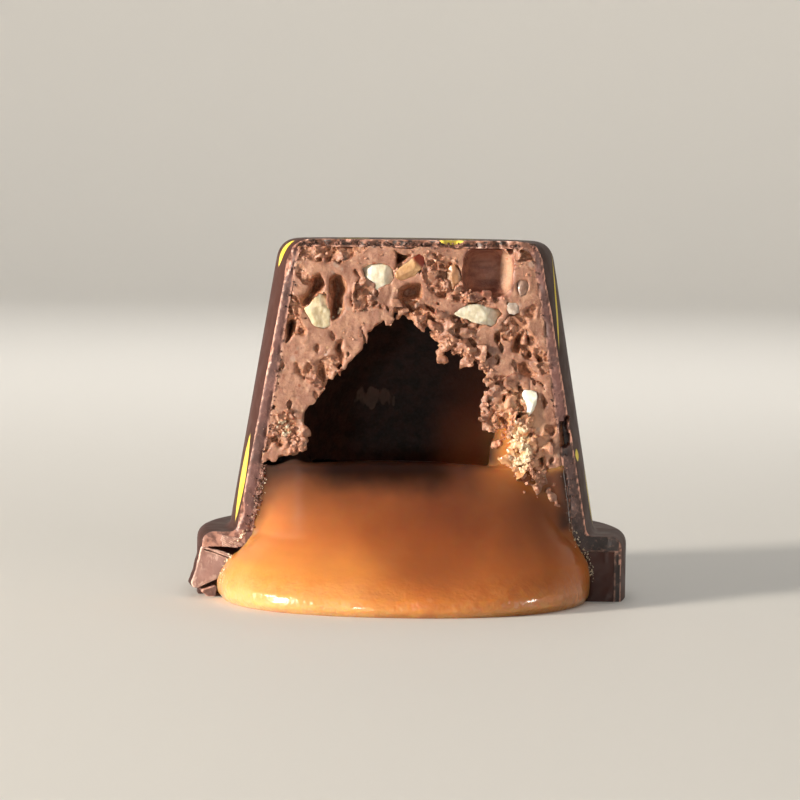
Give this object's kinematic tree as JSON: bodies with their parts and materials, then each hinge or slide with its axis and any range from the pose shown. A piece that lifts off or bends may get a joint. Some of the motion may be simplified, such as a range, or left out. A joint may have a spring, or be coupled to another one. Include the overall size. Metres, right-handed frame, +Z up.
{
  "type": "filled chocolate",
  "caption": "Moulded dark chocolate cone with a brim, cut open upright, with nut praline round a hollow and caramel flowing out over its base.",
  "frame": {"origin": "on the cone's axis, in the flat underside that the chocolate stands on", "axes": "+Z up along the cone's axis; the cut face looks towards -Y; +X to the right of someone who looks at the cut"},
  "size_m": [0.0327, 0.0312, 0.0263],
  "materials": {
    "dark_chocolate": "glossy dark chocolate",
    "cut_chocolate": "broken, satin dark chocolate",
    "praline": "matt, torn nut praline",
    "caramel": "glossy, cloudy runny caramel",
    "nut": "chopped nut"
  },
  "bodies": {
    "root": {"shell": "dark_chocolate", "base": "cut_chocolate", "brim_corner": "cut_chocolate", "brim_splinter": "cut_chocolate", "praline": "praline", "caramel": "caramel", "nut_1": "nut", "nut_2": "nut", "nut_3": "nut", "nut_4": "nut", "nut_5": "nut", "nut_6": "nut", "nut_7": "nut", "nut_8": "nut"}
  },
  "joints": []
}
